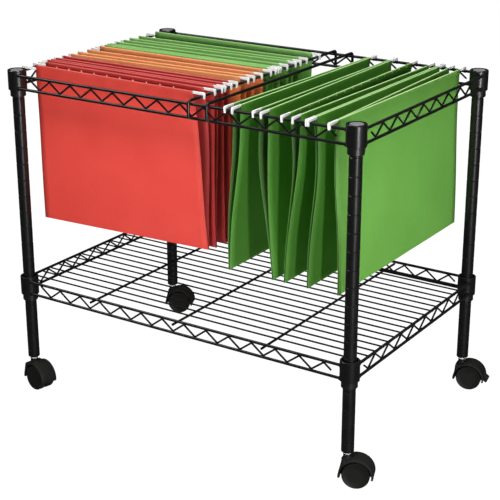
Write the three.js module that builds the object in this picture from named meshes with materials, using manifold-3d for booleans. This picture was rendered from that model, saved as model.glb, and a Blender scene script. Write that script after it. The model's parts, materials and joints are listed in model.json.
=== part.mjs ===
// Wire file cart on four swivel casters, with hanging folders in two bays.
// Millimetres, +Z up, floor at Z = 0, front towards -Y.
import * as THREE from 'three';
import { mergeVertices } from 'three/addons/utils/BufferGeometryUtils.js';
import loadManifold from 'manifold-3d';

// Posts, measured between their centres
const POST_SPACING_X = 580;
const POST_SPACING_Y = 377;
const POST_LENGTH = 468.5;
const POST_BOTTOM = 52;
const POST_R = 9.2;
const POST_WALL = 1.2;
const POST_SIDES = 16;
const GAP = 0.3;
const CUT_PAST = 1;
const MERGE_DISTANCE = 1e-4;

// Wire frames: collars on the posts, a top and a bottom wire with a zigzag between them
const COLLAR_R = 13.5;
const COLLAR_H = 29.5;
const COLLAR_BORE_TOP = 11.2;
const COLLAR_BORE_BOTTOM = 11.9;
const SHELF_DROP = 330;
const WIRE_R = 2.2;
const WIRE_SIDES = 6;
const THIN_SIDES = 4;
const WIRE_OUTSET = 9;
const WIRE_BELOW_COLLAR_TOP = 6.2;
const WIRE_DROP = 19.6;
const WIRE_END_INSET = 5;
const ZIGZAG_R = 1.4;
const ZIGZAG_PITCH = 39.4;
const ZIGZAG_WELD = 2.4;
const ZIGZAG_TAIL = 0.6;
const ZIGZAG_FRONT = { start: 32, bends: 27 };
const ZIGZAG_SIDE = { start: 46, bends: 16 };

// Lower shelf's deck
const DECK_WIRES = 18;
const DECK_PITCH = 19.4;
const DECK_R = 1.15;
const DECK_BELOW_WIRE = 2.6;
const CROSSBAR_R = 1.9;
const CROSSBAR_PITCH = 155;
const CROSSBAR_BELOW_WIRE = 5.3;
const CROSSBAR_NUB = 4;

// Split sleeves and caps
const SLEEVE_SHOWS = 10;
const SLEEVE_INSIDE = 24;
const SLEEVE_R_BOTTOM = 11.8;
const SLEEVE_R_TOP = 10.9;
const SLEEVE_SLIT = 1.2;
const CAP_R = 10.6;
const CAP_SHOULDER_R = 8.5;
const CAP_SHOULDER = 1.8;
const CAP_CROWN = 2.2;
const CAP_PLUG = 14;

// Cross rails between the two bays
const CROSS_RAIL_X = [35.5, 66];
const CROSS_RAIL_BEND = 5;
const BEND_STEPS = 3;

// Casters: each trails from its swivel axis towards its heading
const WHEEL_R = 20.5;
const WHEEL_SIDES = 16;
const WHEEL_INNER = 2.4;
const WHEEL_BORE_END = 11.8;
const WHEEL_RIM = 12.1;
const WHEEL_FACE_R = 19.1;
const WHEEL_FACE = 13.2;
const WHEEL_CROWN = 13.7;
const AXLE_R = 2.5;
const AXLE_HALF = 11.5;
const AXLE_Z = WHEEL_R * Math.cos(Math.PI / WHEEL_SIDES);
const TRAIL = 13.5;
const HOOD_R = 25.2;
const HOOD_WELL_R = 21.6;
const HOOD_HALF_WIDTH = 14.1;
const HOOD_WEB = 4;
const HOOD_TIP = 10;
const HOOD_NOTCH = 2;
const HOOD_NOTCH_START = 19;
const HOOD_NOTCH_HALF_WIDTH = 8;
const HOOD_SEGMENTS = 10;
const HOOD_SIDES = 20;
const NECK_R = 6;
const NECK_ROOT = 37;
const NECK_SHOULDER = 42;
const STEM_R = 5.4;
const STEM_SIDES = 10;
const STEM_PIN_R = 4;
const STEM_PIN_BOTTOM = 40.5;
const STEM_GAP = 3.2;
const STEM_BUSH = 32;

// Brake pedal on one caster, pressed down: its pin lies in the hood's wall, and its outline starts from there
const BRAKE_NOTCH = 26;
const BRAKE_PIN_FROM_AXLE = 23.4;
const BRAKE_PIN_ANGLE = 12;
const BRAKE_PIN_R = 0.8;
const BRAKE_PIN_HALF = 10.5;
const BRAKE_WIDTH = 11;
const BRAKE_OUTLINE = [[-1, 4], [9.2, -3.2], [5.8, -11.2], [2.2, -9.8], [-1.6, -2]];

const CORNERS = [
  { name: 'front_left', x: -1, y: -1, heading: -12.5 },
  { name: 'front_right', x: 1, y: -1, heading: 21 },
  { name: 'back_right', x: 1, y: 1, heading: 12.7, braked: true },
  { name: 'back_left', x: -1, y: 1, heading: 24 },
];

// Folders: two flaps that hang from hooked rods and meet in a fold at the bottom
const CARD = 1.2;
const FOLD_DEPTH = 4.8;
const FOLDER_H = 242.5;
const FOLDER_COLUMNS = 2;
const BELLY_AT_BACK = 0.4;
const HOOK_W = 2.6;
const HOOK_TIP_W = 3;
const HOOK_TIP_DROP = 5.5;
const HOOK_BAR = 3.4;
const HOOK_PLAY = 1.6;
const HOOK_ROOT = 8;
const LEFT_BODY = [-278, 22];
const RIGHT_BODY = [-182, 182];
const LEFT_ABOVE_POSTS = 3;
const RIGHT_ABOVE_POSTS = -0.5;
const RED = 0xe2463e;
const ORANGE = 0xd66e3e;
const GREEN = 0x5b9a3f;

// Each folder's two rods and its fold, measured across the bay: in the left bay at the left and right end,
// in the right bay at the back and front end, where a belly is how far each flap swells at half its height
const LEFT_FOLDERS = [
  { name: 'folder_red_1', colour: RED, near: [-159.5, -170], far: [-136.5, -147.5], fold: [-155.5, -138] },
  { name: 'folder_red_2', colour: RED, near: [-118, -129], far: [-99.5, -111.5], fold: [-113, -124.5] },
  { name: 'folder_red_3', colour: RED, near: [-85, -102], far: [-70, -89.5], fold: [-84, -99.5] },
  { name: 'folder_orange_1', colour: ORANGE, near: [-57, -61.5], far: [-48, -46], fold: [-58, -64] },
  { name: 'folder_orange_2', colour: ORANGE, near: [-30, -39.5], far: [-9, -25], fold: [-20, -32] },
  { name: 'folder_green_1', colour: GREEN, near: [6, 3.5], far: [24, 21.5], fold: [15, 13] },
  { name: 'folder_green_2', colour: GREEN, near: [34, 27.5], far: [51, 50], fold: [44, 39] },
  { name: 'folder_green_3', colour: GREEN, near: [76, 76], far: [87, 87], fold: [82, 82] },
  { name: 'folder_green_4', colour: GREEN, near: [107, 106], far: [142, 146], fold: [130, 130] },
];
const RIGHT_FOLDERS = [
  { name: 'folder_green_5', near: [104.5, 95.7], far: [108.7, 107.8], fold: [88, 88], belly: [-1, 1.4] },
  { name: 'folder_green_6', near: [141, 141], far: [145.2, 153.4], fold: [161, 161], belly: [-6.5, -3.2] },
  { name: 'folder_green_7', near: [179.5, 185.6], far: [209.5, 202.5], fold: [180, 180], belly: [6.5, 1.3] },
  { name: 'folder_green_8', near: [222.5, 222.9], far: [227, 226.2], fold: [217, 217], belly: [4.2, 5] },
  { name: 'folder_green_9', near: [242.5, 254.6], far: [261, 258], fold: [265, 265], belly: [-1.5, -0.8] },
];

// Heights and planes that follow from the driving dimensions
const POST_X = POST_SPACING_X / 2;
const POST_Y = POST_SPACING_Y / 2;
const POST_TOP = POST_BOTTOM + POST_LENGTH;
const WIRE_X = POST_X + WIRE_OUTSET;
const WIRE_Y = POST_Y + WIRE_OUTSET;
const TOP_WIRE_Z = POST_TOP - WIRE_BELOW_COLLAR_TOP;
const CROSS_RAIL_Z = TOP_WIRE_Z + 2 * WIRE_R + GAP;
const SHELF_TOP = POST_TOP - SHELF_DROP;

const wasm = await loadManifold();
wasm.setup();

// Turns a closed geometry into a solid, with its faces pointing out
function solidOf(geometry) {
  const bare = new THREE.BufferGeometry();
  bare.setAttribute('position', geometry.getAttribute('position'));
  bare.setIndex(geometry.getIndex());
  const merged = mergeVertices(bare, MERGE_DISTANCE);
  const index = merged.getIndex().array;
  const triangles = [];
  for (let i = 0; i < index.length; i += 3) {
    const [a, b, c] = [index[i], index[i + 1], index[i + 2]];
    if (a !== b && b !== c && c !== a) triangles.push(a, b, c);
  }
  const mesh = (order) => new wasm.Mesh({
    numProp: 3,
    vertProperties: new Float32Array(merged.getAttribute('position').array),
    triVerts: new Uint32Array(order),
  });
  const solid = new wasm.Manifold(mesh(triangles));
  return solid.volume() > 0 ? solid : new wasm.Manifold(mesh(triangles.reverse()));
}

function geometryOf(solid) {
  const { vertProperties, triVerts } = solid.getMesh();
  const geometry = new THREE.BufferGeometry();
  geometry.setAttribute('position', new THREE.BufferAttribute(vertProperties, 3));
  geometry.setIndex(new THREE.BufferAttribute(triVerts, 1));
  geometry.computeVertexNormals();
  return geometry;
}

function join(geometries) {
  return geometries.map(solidOf).reduce((whole, piece) => whole.add(piece));
}

// Basic forms
function revolve(profile, sides) {
  const points = profile.map(([r, z]) => new THREE.Vector2(r, z));
  return new THREE.LatheGeometry(points, sides).rotateX(Math.PI / 2);
}

function cylinder(radius, bottom, top, sides, topRadius = radius) {
  return new THREE.CylinderGeometry(topRadius, radius, top - bottom, sides)
    .rotateX(Math.PI / 2)
    .translate(0, 0, (bottom + top) / 2);
}

function rod(start, end, radius, sides) {
  const from = new THREE.Vector3(...start);
  const to = new THREE.Vector3(...end);
  const direction = to.clone().sub(from);
  const turn = new THREE.Quaternion().setFromUnitVectors(
    new THREE.Vector3(0, 1, 0), direction.clone().normalize());
  return new THREE.CylinderGeometry(radius, radius, direction.length(), sides)
    .applyQuaternion(turn)
    .translate(...from.add(to).multiplyScalar(0.5));
}

// A shape drawn in X and Z, given thickness along Y about Y = 0
function plate(shape, thickness) {
  return new THREE.ExtrudeGeometry(shape, {
    depth: thickness,
    bevelEnabled: false,
    curveSegments: HOOD_SEGMENTS,
  })
    .translate(0, 0, -thickness / 2)
    .rotateX(Math.PI / 2);
}

function polygon(points) {
  return new THREE.Shape(points.map(([x, y]) => new THREE.Vector2(x, y)));
}

// A closed skin through sections across X that have matching corners. Each quad's diagonal leaves the higher
// corner of its first section, so that both faces of a thin twisted sheet fold alike.
function loft(sections) {
  const corners = sections[0].length;
  const points = sections.flat();
  const index = [];
  for (let a = 0; a < points.length - corners; a += 1) {
    const b = (a + 1) % corners ? a + 1 : a + 1 - corners;
    const [c, d] = [a + corners, b + corners];
    index.push(...(points[a][2] > points[b][2] ? [a, b, d, a, d, c] : [a, b, c, b, d, c]));
  }
  for (const end of [0, sections.length - 1]) {
    const outline = sections[end].map(([, y, z]) => new THREE.Vector2(y, z));
    const turn = Math.sign(THREE.ShapeUtils.area(outline)) * (end ? 1 : -1);
    for (const face of THREE.ShapeUtils.triangulateShape(outline, [])) {
      const along = turn * THREE.ShapeUtils.area(face.map((i) => outline[i])) > 0;
      index.push(...(along ? face : face.toReversed()).map((i) => end * corners + i));
    }
  }
  const geometry = new THREE.BufferGeometry();
  geometry.setAttribute('position', new THREE.Float32BufferAttribute(points.flat(), 3));
  geometry.setIndex(index);
  return geometry;
}

// A path through corner points, whose steps fall on the corners
class CornerPath extends THREE.Curve {
  constructor(points) {
    super();
    this.points = points.map((point) => new THREE.Vector3(...point));
  }

  getPoint(t, target = new THREE.Vector3()) {
    const last = this.points.length - 1;
    const place = THREE.MathUtils.clamp(t, 0, 1) * last;
    const i = Math.min(Math.floor(place), last - 1);
    return target.lerpVectors(this.points[i], this.points[i + 1], place - i);
  }

  getPointAt(u, target) {
    return this.getPoint(u, target);
  }

  getTangentAt(u, target) {
    return this.getTangent(u, target);
  }
}

// A wire bent in one plane: corners are mitred, so the section widens by 1 / cos(turn / 2)
function bentWire(points, radius, sides, mitre = 1) {
  const section = [];
  for (let i = 0; i < sides; i += 1) {
    const angle = (i * 2 * Math.PI) / sides;
    section.push([radius * Math.cos(angle), radius * mitre * Math.sin(angle)]);
  }
  return new THREE.ExtrudeGeometry(polygon(section), {
    steps: points.length - 1,
    extrudePath: new CornerPath(points),
    bevelEnabled: false,
  });
}

// One wire truss along X at Y = 0, with its top wire at Z = 0; the zigzag ends in a free tail
function truss(halfLength, inset, bends) {
  const upper = -ZIGZAG_WELD;
  const lower = -WIRE_DROP + ZIGZAG_WELD;
  const half = ZIGZAG_PITCH / 2;
  const points = [];
  for (let i = 0; i < bends; i += 1) {
    points.push([-halfLength + inset + i * half, 0, i % 2 ? lower : upper]);
  }
  const [x, , z] = points.at(-1);
  const across = upper + lower - z;
  points.push([x + ZIGZAG_TAIL * half, 0, z + ZIGZAG_TAIL * (across - z)]);
  const slope = Math.atan2(upper - lower, half);
  return [
    rod([-halfLength, 0, 0], [halfLength, 0, 0], WIRE_R, WIRE_SIDES),
    rod([-halfLength, 0, -WIRE_DROP], [halfLength, 0, -WIRE_DROP], WIRE_R, WIRE_SIDES),
    bentWire(points, ZIGZAG_R, THIN_SIDES, 1 / Math.cos(slope)),
  ];
}

// A front or back truss with the two collars welded to its ends
function collaredTruss(side, collarTop) {
  const wireZ = collarTop - WIRE_BELOW_COLLAR_TOP;
  const { start, bends } = ZIGZAG_FRONT;
  const pieces = truss(POST_X - WIRE_END_INSET, start - WIRE_END_INSET, bends);
  pieces.forEach((piece) => piece.translate(0, side * WIRE_Y, wireZ));
  const bottom = collarTop - COLLAR_H;
  const bores = [];
  for (const end of [-1, 1]) {
    const place = [end * POST_X, side * POST_Y, 0];
    const bore = cylinder(
      COLLAR_BORE_BOTTOM, bottom - CUT_PAST, collarTop + CUT_PAST, POST_SIDES, COLLAR_BORE_TOP);
    pieces.push(cylinder(COLLAR_R, bottom, collarTop, POST_SIDES).translate(...place));
    bores.push(bore.translate(...place));
  }
  return join(pieces).subtract(join(bores));
}

// The clear space round both collars at one end of a side truss
function collarSpace(end, collarTop) {
  const spaces = [-1, 1].map((side) => cylinder(
    COLLAR_R + GAP, collarTop - COLLAR_H - GAP, collarTop + GAP, POST_SIDES)
    .translate(end * POST_X, side * POST_Y, 0));
  return join(spaces);
}

function sideTruss(end, collarTop) {
  const wireZ = collarTop - WIRE_BELOW_COLLAR_TOP;
  const { start, bends } = ZIGZAG_SIDE;
  const pieces = truss(POST_Y - WIRE_END_INSET, start - WIRE_END_INSET, bends);
  return pieces.map((piece) => piece.rotateZ(-Math.PI / 2).translate(end * WIRE_X, 0, wireZ));
}

function topSideRail(end) {
  return join(sideTruss(end, POST_TOP)).subtract(collarSpace(end, POST_TOP));
}

function shelfDeck() {
  const wireZ = SHELF_TOP - WIRE_BELOW_COLLAR_TOP;
  const pieces = [...sideTruss(-1, SHELF_TOP), ...sideTruss(1, SHELF_TOP)];
  for (let i = 0; i < DECK_WIRES; i += 1) {
    const y = (i - (DECK_WIRES - 1) / 2) * DECK_PITCH;
    const z = wireZ - DECK_BELOW_WIRE;
    pieces.push(rod([-WIRE_X, y, z], [WIRE_X, y, z], DECK_R, THIN_SIDES));
  }
  for (const step of [-1, 0, 1]) {
    const x = step * CROSSBAR_PITCH;
    const z = wireZ - CROSSBAR_BELOW_WIRE;
    const reach = WIRE_Y + CROSSBAR_NUB;
    pieces.push(rod([x, -reach, z], [x, reach, z], CROSSBAR_R, WIRE_SIDES));
  }
  return join(pieces).subtract(collarSpace(-1, SHELF_TOP)).subtract(collarSpace(1, SHELF_TOP));
}

// A cross rail lies on the front and back wires and turns down outside them
function crossRail(x) {
  const reach = WIRE_Y + 2 * WIRE_R + GAP;
  const foot = TOP_WIRE_Z - WIRE_DROP - WIRE_R;
  const points = [[x, -reach, foot]];
  for (const side of [-1, 1]) {
    for (let step = 0; step <= BEND_STEPS; step += 1) {
      const angle = (step / BEND_STEPS) * (Math.PI / 2);
      const turn = side < 0 ? angle : Math.PI / 2 - angle;
      const y = side * (reach - CROSS_RAIL_BEND * (1 - Math.cos(turn)));
      points.push([x, y, CROSS_RAIL_Z - CROSS_RAIL_BEND * (1 - Math.sin(turn))]);
    }
  }
  points.push([x, reach, foot]);
  return solidOf(bentWire(points, WIRE_R, WIRE_SIDES));
}

// Posts and the plastic pieces on them
function post() {
  const inner = POST_R - POST_WALL;
  return solidOf(revolve([
    [inner, 0],
    [POST_R, 0],
    [POST_R, POST_LENGTH],
    [inner, POST_LENGTH],
    [inner, 0],
  ], POST_SIDES));
}

function postCap() {
  const plug = POST_R - POST_WALL - GAP;
  return solidOf(revolve([
    [0, -CAP_PLUG],
    [plug, -CAP_PLUG],
    [plug, GAP],
    [CAP_R, GAP],
    [CAP_SHOULDER_R, CAP_SHOULDER],
    [0, CAP_CROWN],
  ], POST_SIDES));
}

function splitSleeve() {
  const inner = POST_R + GAP;
  const ring = solidOf(revolve([
    [inner, -SLEEVE_SHOWS],
    [SLEEVE_R_BOTTOM, -SLEEVE_SHOWS],
    [SLEEVE_R_TOP, SLEEVE_INSIDE],
    [inner, SLEEVE_INSIDE],
    [inner, -SLEEVE_SHOWS],
  ], POST_SIDES));
  const length = 2 * (SLEEVE_SHOWS + SLEEVE_INSIDE);
  const slit = new THREE.BoxGeometry(SLEEVE_SLIT, 2 * SLEEVE_R_BOTTOM, length)
    .translate(0, SLEEVE_R_BOTTOM, 0);
  return ring.subtract(solidOf(slit));
}

// Caster pieces, in a frame with the swivel axis on Z and the axle along Y at X = TRAIL
function casterStem() {
  const bush = POST_R - POST_WALL - GAP;
  return solidOf(revolve([
    [0, STEM_PIN_BOTTOM],
    [STEM_PIN_R, STEM_PIN_BOTTOM],
    [STEM_PIN_R, POST_BOTTOM - STEM_GAP],
    [STEM_R, POST_BOTTOM - STEM_GAP],
    [STEM_R, POST_BOTTOM],
    [bush, POST_BOTTOM],
    [bush, POST_BOTTOM + STEM_BUSH],
    [0, POST_BOTTOM + STEM_BUSH],
  ], STEM_SIDES));
}

function hoodOutline() {
  const tip = THREE.MathUtils.degToRad(HOOD_TIP);
  const shoulder = Math.asin((NECK_SHOULDER - AXLE_Z) / HOOD_R);
  const shape = new THREE.Shape();
  shape.moveTo(TRAIL - HOOD_R, AXLE_Z - HOOD_R * Math.sin(tip));
  shape.lineTo(TRAIL - HOOD_R, AXLE_Z);
  shape.lineTo(-NECK_R, NECK_SHOULDER);
  shape.absarc(TRAIL, AXLE_Z, HOOD_R, Math.PI - shoulder, -tip, true);
  return shape;
}

// The middle of the pedal's pin, and a rod through it
function brakePin(half, radius) {
  const angle = THREE.MathUtils.degToRad(BRAKE_PIN_ANGLE);
  const x = TRAIL + BRAKE_PIN_FROM_AXLE * Math.cos(angle);
  const z = AXLE_Z + BRAKE_PIN_FROM_AXLE * Math.sin(angle);
  return { x, z, pin: rod([x, -half, z], [x, half, z], radius, STEM_SIDES) };
}

function casterBrake() {
  const { x, z, pin } = brakePin(BRAKE_PIN_HALF, BRAKE_PIN_R);
  return join([plate(polygon(BRAKE_OUTLINE), BRAKE_WIDTH).translate(x, 0, z), pin]);
}

// The hood's trailing edge is cut back between its two sides, and further where a pedal needs room
function hoodNotch(angle) {
  const top = AXLE_Z + HOOD_R * Math.sin(THREE.MathUtils.degToRad(angle));
  const length = 2 * (HOOD_R - HOOD_NOTCH_START);
  return new THREE.BoxGeometry(length, 2 * HOOD_NOTCH_HALF_WIDTH, HOOD_R)
    .translate(TRAIL + HOOD_R, 0, top - HOOD_R / 2);
}

function casterHood(braked) {
  const neckTop = POST_BOTTOM - STEM_GAP - GAP;
  const shell = join([
    plate(hoodOutline(), 2 * HOOD_HALF_WIDTH),
    cylinder(NECK_R, NECK_ROOT, neckTop, STEM_SIDES),
  ]);
  const wellDepth = HOOD_HALF_WIDTH - HOOD_WEB / 2 + CUT_PAST;
  const wells = [-1, 1].map((side) => cylinder(HOOD_WELL_R, 0, wellDepth, HOOD_SIDES)
    .rotateX(side * Math.PI / 2)
    .translate(TRAIL, -side * (HOOD_WEB / 2), AXLE_Z));
  const bores = join([
    cylinder(STEM_PIN_R + GAP, STEM_PIN_BOTTOM - GAP, neckTop + CUT_PAST, STEM_SIDES),
    rod([TRAIL, -HOOD_WEB, AXLE_Z], [TRAIL, HOOD_WEB, AXLE_Z], AXLE_R + GAP, STEM_SIDES),
  ]);
  const hood = shell.subtract(join(wells)).subtract(bores);
  if (!braked) return hood.subtract(solidOf(hoodNotch(HOOD_NOTCH)));
  const { pin } = brakePin(BRAKE_PIN_HALF + GAP, BRAKE_PIN_R + GAP);
  return hood.subtract(join([hoodNotch(BRAKE_NOTCH), pin]));
}

function casterAxle() {
  const ends = [-AXLE_HALF, AXLE_HALF].map((y) => [TRAIL, y, AXLE_Z]);
  return solidOf(rod(...ends, AXLE_R, STEM_SIDES));
}

function casterWheel(side) {
  const bore = AXLE_R + GAP;
  const wheel = revolve([
    [0, WHEEL_BORE_END],
    [bore, WHEEL_BORE_END],
    [bore, WHEEL_INNER],
    [WHEEL_R, WHEEL_INNER],
    [WHEEL_R, WHEEL_RIM],
    [WHEEL_FACE_R, WHEEL_FACE],
    [0, WHEEL_CROWN],
  ], WHEEL_SIDES);
  return solidOf(wheel
    .rotateZ(Math.PI / WHEEL_SIDES)
    .rotateX(-side * Math.PI / 2)
    .translate(TRAIL, 0, AXLE_Z));
}

// A folder in a frame with its rods along X, its hooks at the two rails and its flaps side by side in Y
function hook(edge, rail, seat) {
  const out = Math.sign(rail - edge);
  const outer = rail + out * (WIRE_R + HOOK_PLAY);
  const tip = outer + out * HOOK_TIP_W;
  const root = edge - out * HOOK_ROOT;
  return plate(polygon([
    [root, seat],
    [outer, seat],
    [outer, seat - HOOK_TIP_DROP],
    [tip, seat - HOOK_TIP_DROP],
    [tip, seat + HOOK_BAR],
    [root, seat + HOOK_BAR],
  ]), HOOK_W);
}

// One flap's middle line in a section, from its rod down to half its height, where it swells
function flapLine(rodY, foldY, top, swell) {
  const line = [[rodY, top]];
  if (swell) line.push([(rodY + foldY) / 2 + swell, top - FOLDER_H / 2]);
  return line;
}

// Both flaps in section, round the outside of the V and back up its inside
function flapSection({ near, far, fold, belly }, along, top) {
  const at = ([start, end]) => THREE.MathUtils.lerp(start, end, along);
  const [nearLine, farLine] = [near, far].map((rods, i) => flapLine(
    at(rods), at(fold), top, belly && belly[i] * THREE.MathUtils.lerp(BELLY_AT_BACK, 1, along)));
  const moved = (line, across) => line.map(([y, z]) => [y + across, z]);
  const bottom = top - FOLDER_H;
  return [
    ...moved(nearLine, -CARD / 2),
    [at(fold) - CARD, bottom],
    [at(fold) + CARD, bottom],
    ...moved(farLine, CARD / 2).reverse(),
    ...moved(farLine, -CARD / 2),
    [at(fold), bottom + FOLD_DEPTH],
    ...moved(nearLine, CARD / 2).reverse(),
  ];
}

function folder(spec, body, rails, seats, top) {
  const sections = [];
  for (let column = 0; column <= FOLDER_COLUMNS; column += 1) {
    const along = column / FOLDER_COLUMNS;
    const x = THREE.MathUtils.lerp(...body, along);
    sections.push(flapSection(spec, along, top).map(([y, z]) => [x, y, z]));
  }
  const hooks = [spec.near, spec.far].flatMap((rods) => [0, 1].map(
    (end) => hook(body[end], rails[end], seats[end]).translate(0, rods[end], 0)));
  return join([loft(sections), ...hooks]);
}

// Materials, one for each mesh
const BLACK_PAINT = { color: 0x141414, roughness: 0.42, metalness: 0.3 };
const BLACK_PLASTIC = { color: 0x1b1b1a, roughness: 0.6, metalness: 0 };
const GREY_PLASTIC = { color: 0x55555a, roughness: 0.5, metalness: 0 };
const ZINC = { color: 0xc9cacb, roughness: 0.35, metalness: 0.9 };

function mesh(name, solid, look) {
  const piece = new THREE.Mesh(geometryOf(solid), new THREE.MeshStandardMaterial(look));
  piece.name = name;
  return piece;
}

function buildFrame() {
  const frame = new THREE.Group();
  for (const [name, side] of [['front', -1], ['back', 1]]) {
    frame.add(mesh(`top_rail_${name}`, collaredTruss(side, POST_TOP), BLACK_PAINT));
    frame.add(mesh(`shelf_rail_${name}`, collaredTruss(side, SHELF_TOP), BLACK_PAINT));
  }
  for (const [name, end] of [['left', -1], ['right', 1]]) {
    frame.add(mesh(`top_rail_${name}`, topSideRail(end), BLACK_PAINT));
  }
  frame.add(mesh('shelf_deck', shelfDeck(), BLACK_PAINT));
  CROSS_RAIL_X.forEach((x, i) => {
    frame.add(mesh(`cross_rail_${i + 1}`, crossRail(x), BLACK_PAINT));
  });
  return frame;
}

function buildPost(corner) {
  const place = new THREE.Group();
  place.position.set(corner.x * POST_X, corner.y * POST_Y, 0);
  const tube = mesh(`post_${corner.name}`, post(), BLACK_PAINT);
  tube.position.z = POST_BOTTOM;
  const cap = mesh(`post_cap_${corner.name}`, postCap(), GREY_PLASTIC);
  cap.position.z = POST_TOP;
  place.add(tube, cap);
  for (const [level, collarTop] of [['upper', POST_TOP], ['lower', SHELF_TOP]]) {
    const sleeve = mesh(`sleeve_${level}_${corner.name}`, splitSleeve(), BLACK_PLASTIC);
    sleeve.position.z = collarTop - COLLAR_H;
    sleeve.rotation.z = Math.PI / 2 * (1 - corner.y);
    place.add(sleeve);
  }
  return place;
}

function buildCaster(corner) {
  const place = new THREE.Group();
  place.position.set(corner.x * POST_X, corner.y * POST_Y, 0);
  place.rotation.z = THREE.MathUtils.degToRad(corner.heading);
  place.add(
    mesh(`caster_stem_${corner.name}`, casterStem(), ZINC),
    mesh(`caster_hood_${corner.name}`, casterHood(corner.braked), BLACK_PLASTIC),
    mesh(`caster_axle_${corner.name}`, casterAxle(), ZINC),
    mesh(`caster_wheel_a_${corner.name}`, casterWheel(-1), BLACK_PLASTIC),
    mesh(`caster_wheel_b_${corner.name}`, casterWheel(1), BLACK_PLASTIC),
  );
  if (corner.braked) place.add(mesh(`caster_brake_${corner.name}`, casterBrake(), BLACK_PLASTIC));
  return place;
}

function cardLook(colour) {
  return { color: colour, roughness: 0.85, metalness: 0 };
}

// Left bay: rods run along X, from the left rail to the first cross rail
function buildLeftFolder(spec) {
  const rails = [-WIRE_X, CROSS_RAIL_X[0]];
  const seats = [TOP_WIRE_Z + WIRE_R + GAP, CROSS_RAIL_Z + WIRE_R + GAP];
  const solid = folder(spec, LEFT_BODY, rails, seats, POST_TOP + LEFT_ABOVE_POSTS);
  return mesh(spec.name, solid, cardLook(spec.colour));
}

// Right bay: rods run along Y, from the back rail to the front rail
function buildRightFolder(spec) {
  const seat = TOP_WIRE_Z + WIRE_R + GAP;
  const rails = [-WIRE_Y, WIRE_Y];
  const solid = folder(spec, RIGHT_BODY, rails, [seat, seat], POST_TOP + RIGHT_ABOVE_POSTS);
  const piece = mesh(spec.name, solid, cardLook(GREEN));
  piece.rotation.z = -Math.PI / 2;
  return piece;
}

const cart = new THREE.Group();
cart.add(buildFrame());
CORNERS.forEach((corner) => cart.add(buildPost(corner), buildCaster(corner)));
LEFT_FOLDERS.forEach((spec) => cart.add(buildLeftFolder(spec)));
RIGHT_FOLDERS.forEach((spec) => cart.add(buildRightFolder(spec)));

export default cart;
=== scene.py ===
"""Looks of the wire file cart: round welded wire, grooved posts, casters and card folders."""
import json
import math

import bmesh
import bpy
from mathutils import Matrix, Vector


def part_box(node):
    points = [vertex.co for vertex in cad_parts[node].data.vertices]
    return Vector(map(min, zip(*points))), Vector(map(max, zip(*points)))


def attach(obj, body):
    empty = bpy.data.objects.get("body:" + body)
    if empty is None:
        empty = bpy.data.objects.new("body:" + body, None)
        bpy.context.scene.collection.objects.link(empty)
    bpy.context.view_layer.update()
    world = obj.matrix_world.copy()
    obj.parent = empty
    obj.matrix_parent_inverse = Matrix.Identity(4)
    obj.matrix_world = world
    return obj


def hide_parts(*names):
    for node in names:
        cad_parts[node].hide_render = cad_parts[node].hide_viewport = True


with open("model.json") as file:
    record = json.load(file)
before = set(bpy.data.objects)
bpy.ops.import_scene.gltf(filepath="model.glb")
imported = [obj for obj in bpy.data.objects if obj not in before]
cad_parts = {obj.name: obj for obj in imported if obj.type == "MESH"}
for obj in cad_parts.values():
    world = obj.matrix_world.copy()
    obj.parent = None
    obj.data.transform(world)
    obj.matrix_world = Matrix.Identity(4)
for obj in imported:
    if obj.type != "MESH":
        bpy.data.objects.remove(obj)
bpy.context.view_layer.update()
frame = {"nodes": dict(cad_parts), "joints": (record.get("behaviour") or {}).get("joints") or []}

MM = 0.001
CORNERS = ("front_left", "front_right", "back_right", "back_left")
BRAKED_CORNER = "back_right"
JOINTS = {joint["name"]: joint for joint in frame["joints"]}
GAP = 0.3 * MM

# Fineness of the meshes
WIRE_SIDES = 12
TUBE_SIDES = 10
THIN_WIRE_SIDES = 8
BEND_STEPS = 4
CROSS_RAIL_BEND_STEPS = 6
LATHE_SEGMENTS = 40
STEM_SEGMENTS = 32
NECK_SEGMENTS = 36
WHEEL_SEGMENTS = 56
BEAD_SEGMENTS = 12
BEAD_RINGS = 8
EDGE_SEGMENTS = 2
HOOD_STEPS = 44
WEB_STEPS = 32
ON_AXIS = 1e-7

# Posts
POST_WALL = 1.2 * MM
POST_ROUNDING = 0.8 * MM
GROOVE_FIRST = 15 * MM
GROOVE_PITCH = 25.7 * MM
GROOVE_HALF = 1.1 * MM
GROOVE_FLOOR_HALF = 0.35 * MM
GROOVE_DEPTH = 0.6 * MM

# Wire frames
WIRE_R = 2.2 * MM
WIRE_OUTSET = 9 * MM
WIRE_END = 10.5 * MM
WIRE_END_BEAD = (2.6 * MM, 2.6 * MM, 3.2 * MM)
ZIGZAG_R = 1.45 * MM
ZIGZAG_PITCH = 39.4 * MM
ZIGZAG_WELD = 2.4 * MM
ZIGZAG_BEND = 2.6 * MM
ZIGZAG_TAIL = 0.6
ZIGZAG_FRONT = {"start": 32 * MM, "bends": 27}
ZIGZAG_SIDE = {"start": 46 * MM, "bends": 16}
ZIGZAG_BEAD = (2.4 * MM, 2.0 * MM, 1.2 * MM)
ZIGZAG_BEAD_SHIFT = 1.44 * MM
COLLAR_R = 14.1 * MM
COLLAR_H = 29.5 * MM
COLLAR_BORE_TOP = 11.6 * MM
COLLAR_BORE_BOTTOM = 11.9 * MM
COLLAR_EDGE = 0.7 * MM
COLLAR_ABOVE_POST = 0.9 * MM
WIRE_BELOW_COLLAR_TOP = 6.2 * MM
WIRE_DROP = 19.6 * MM

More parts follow.
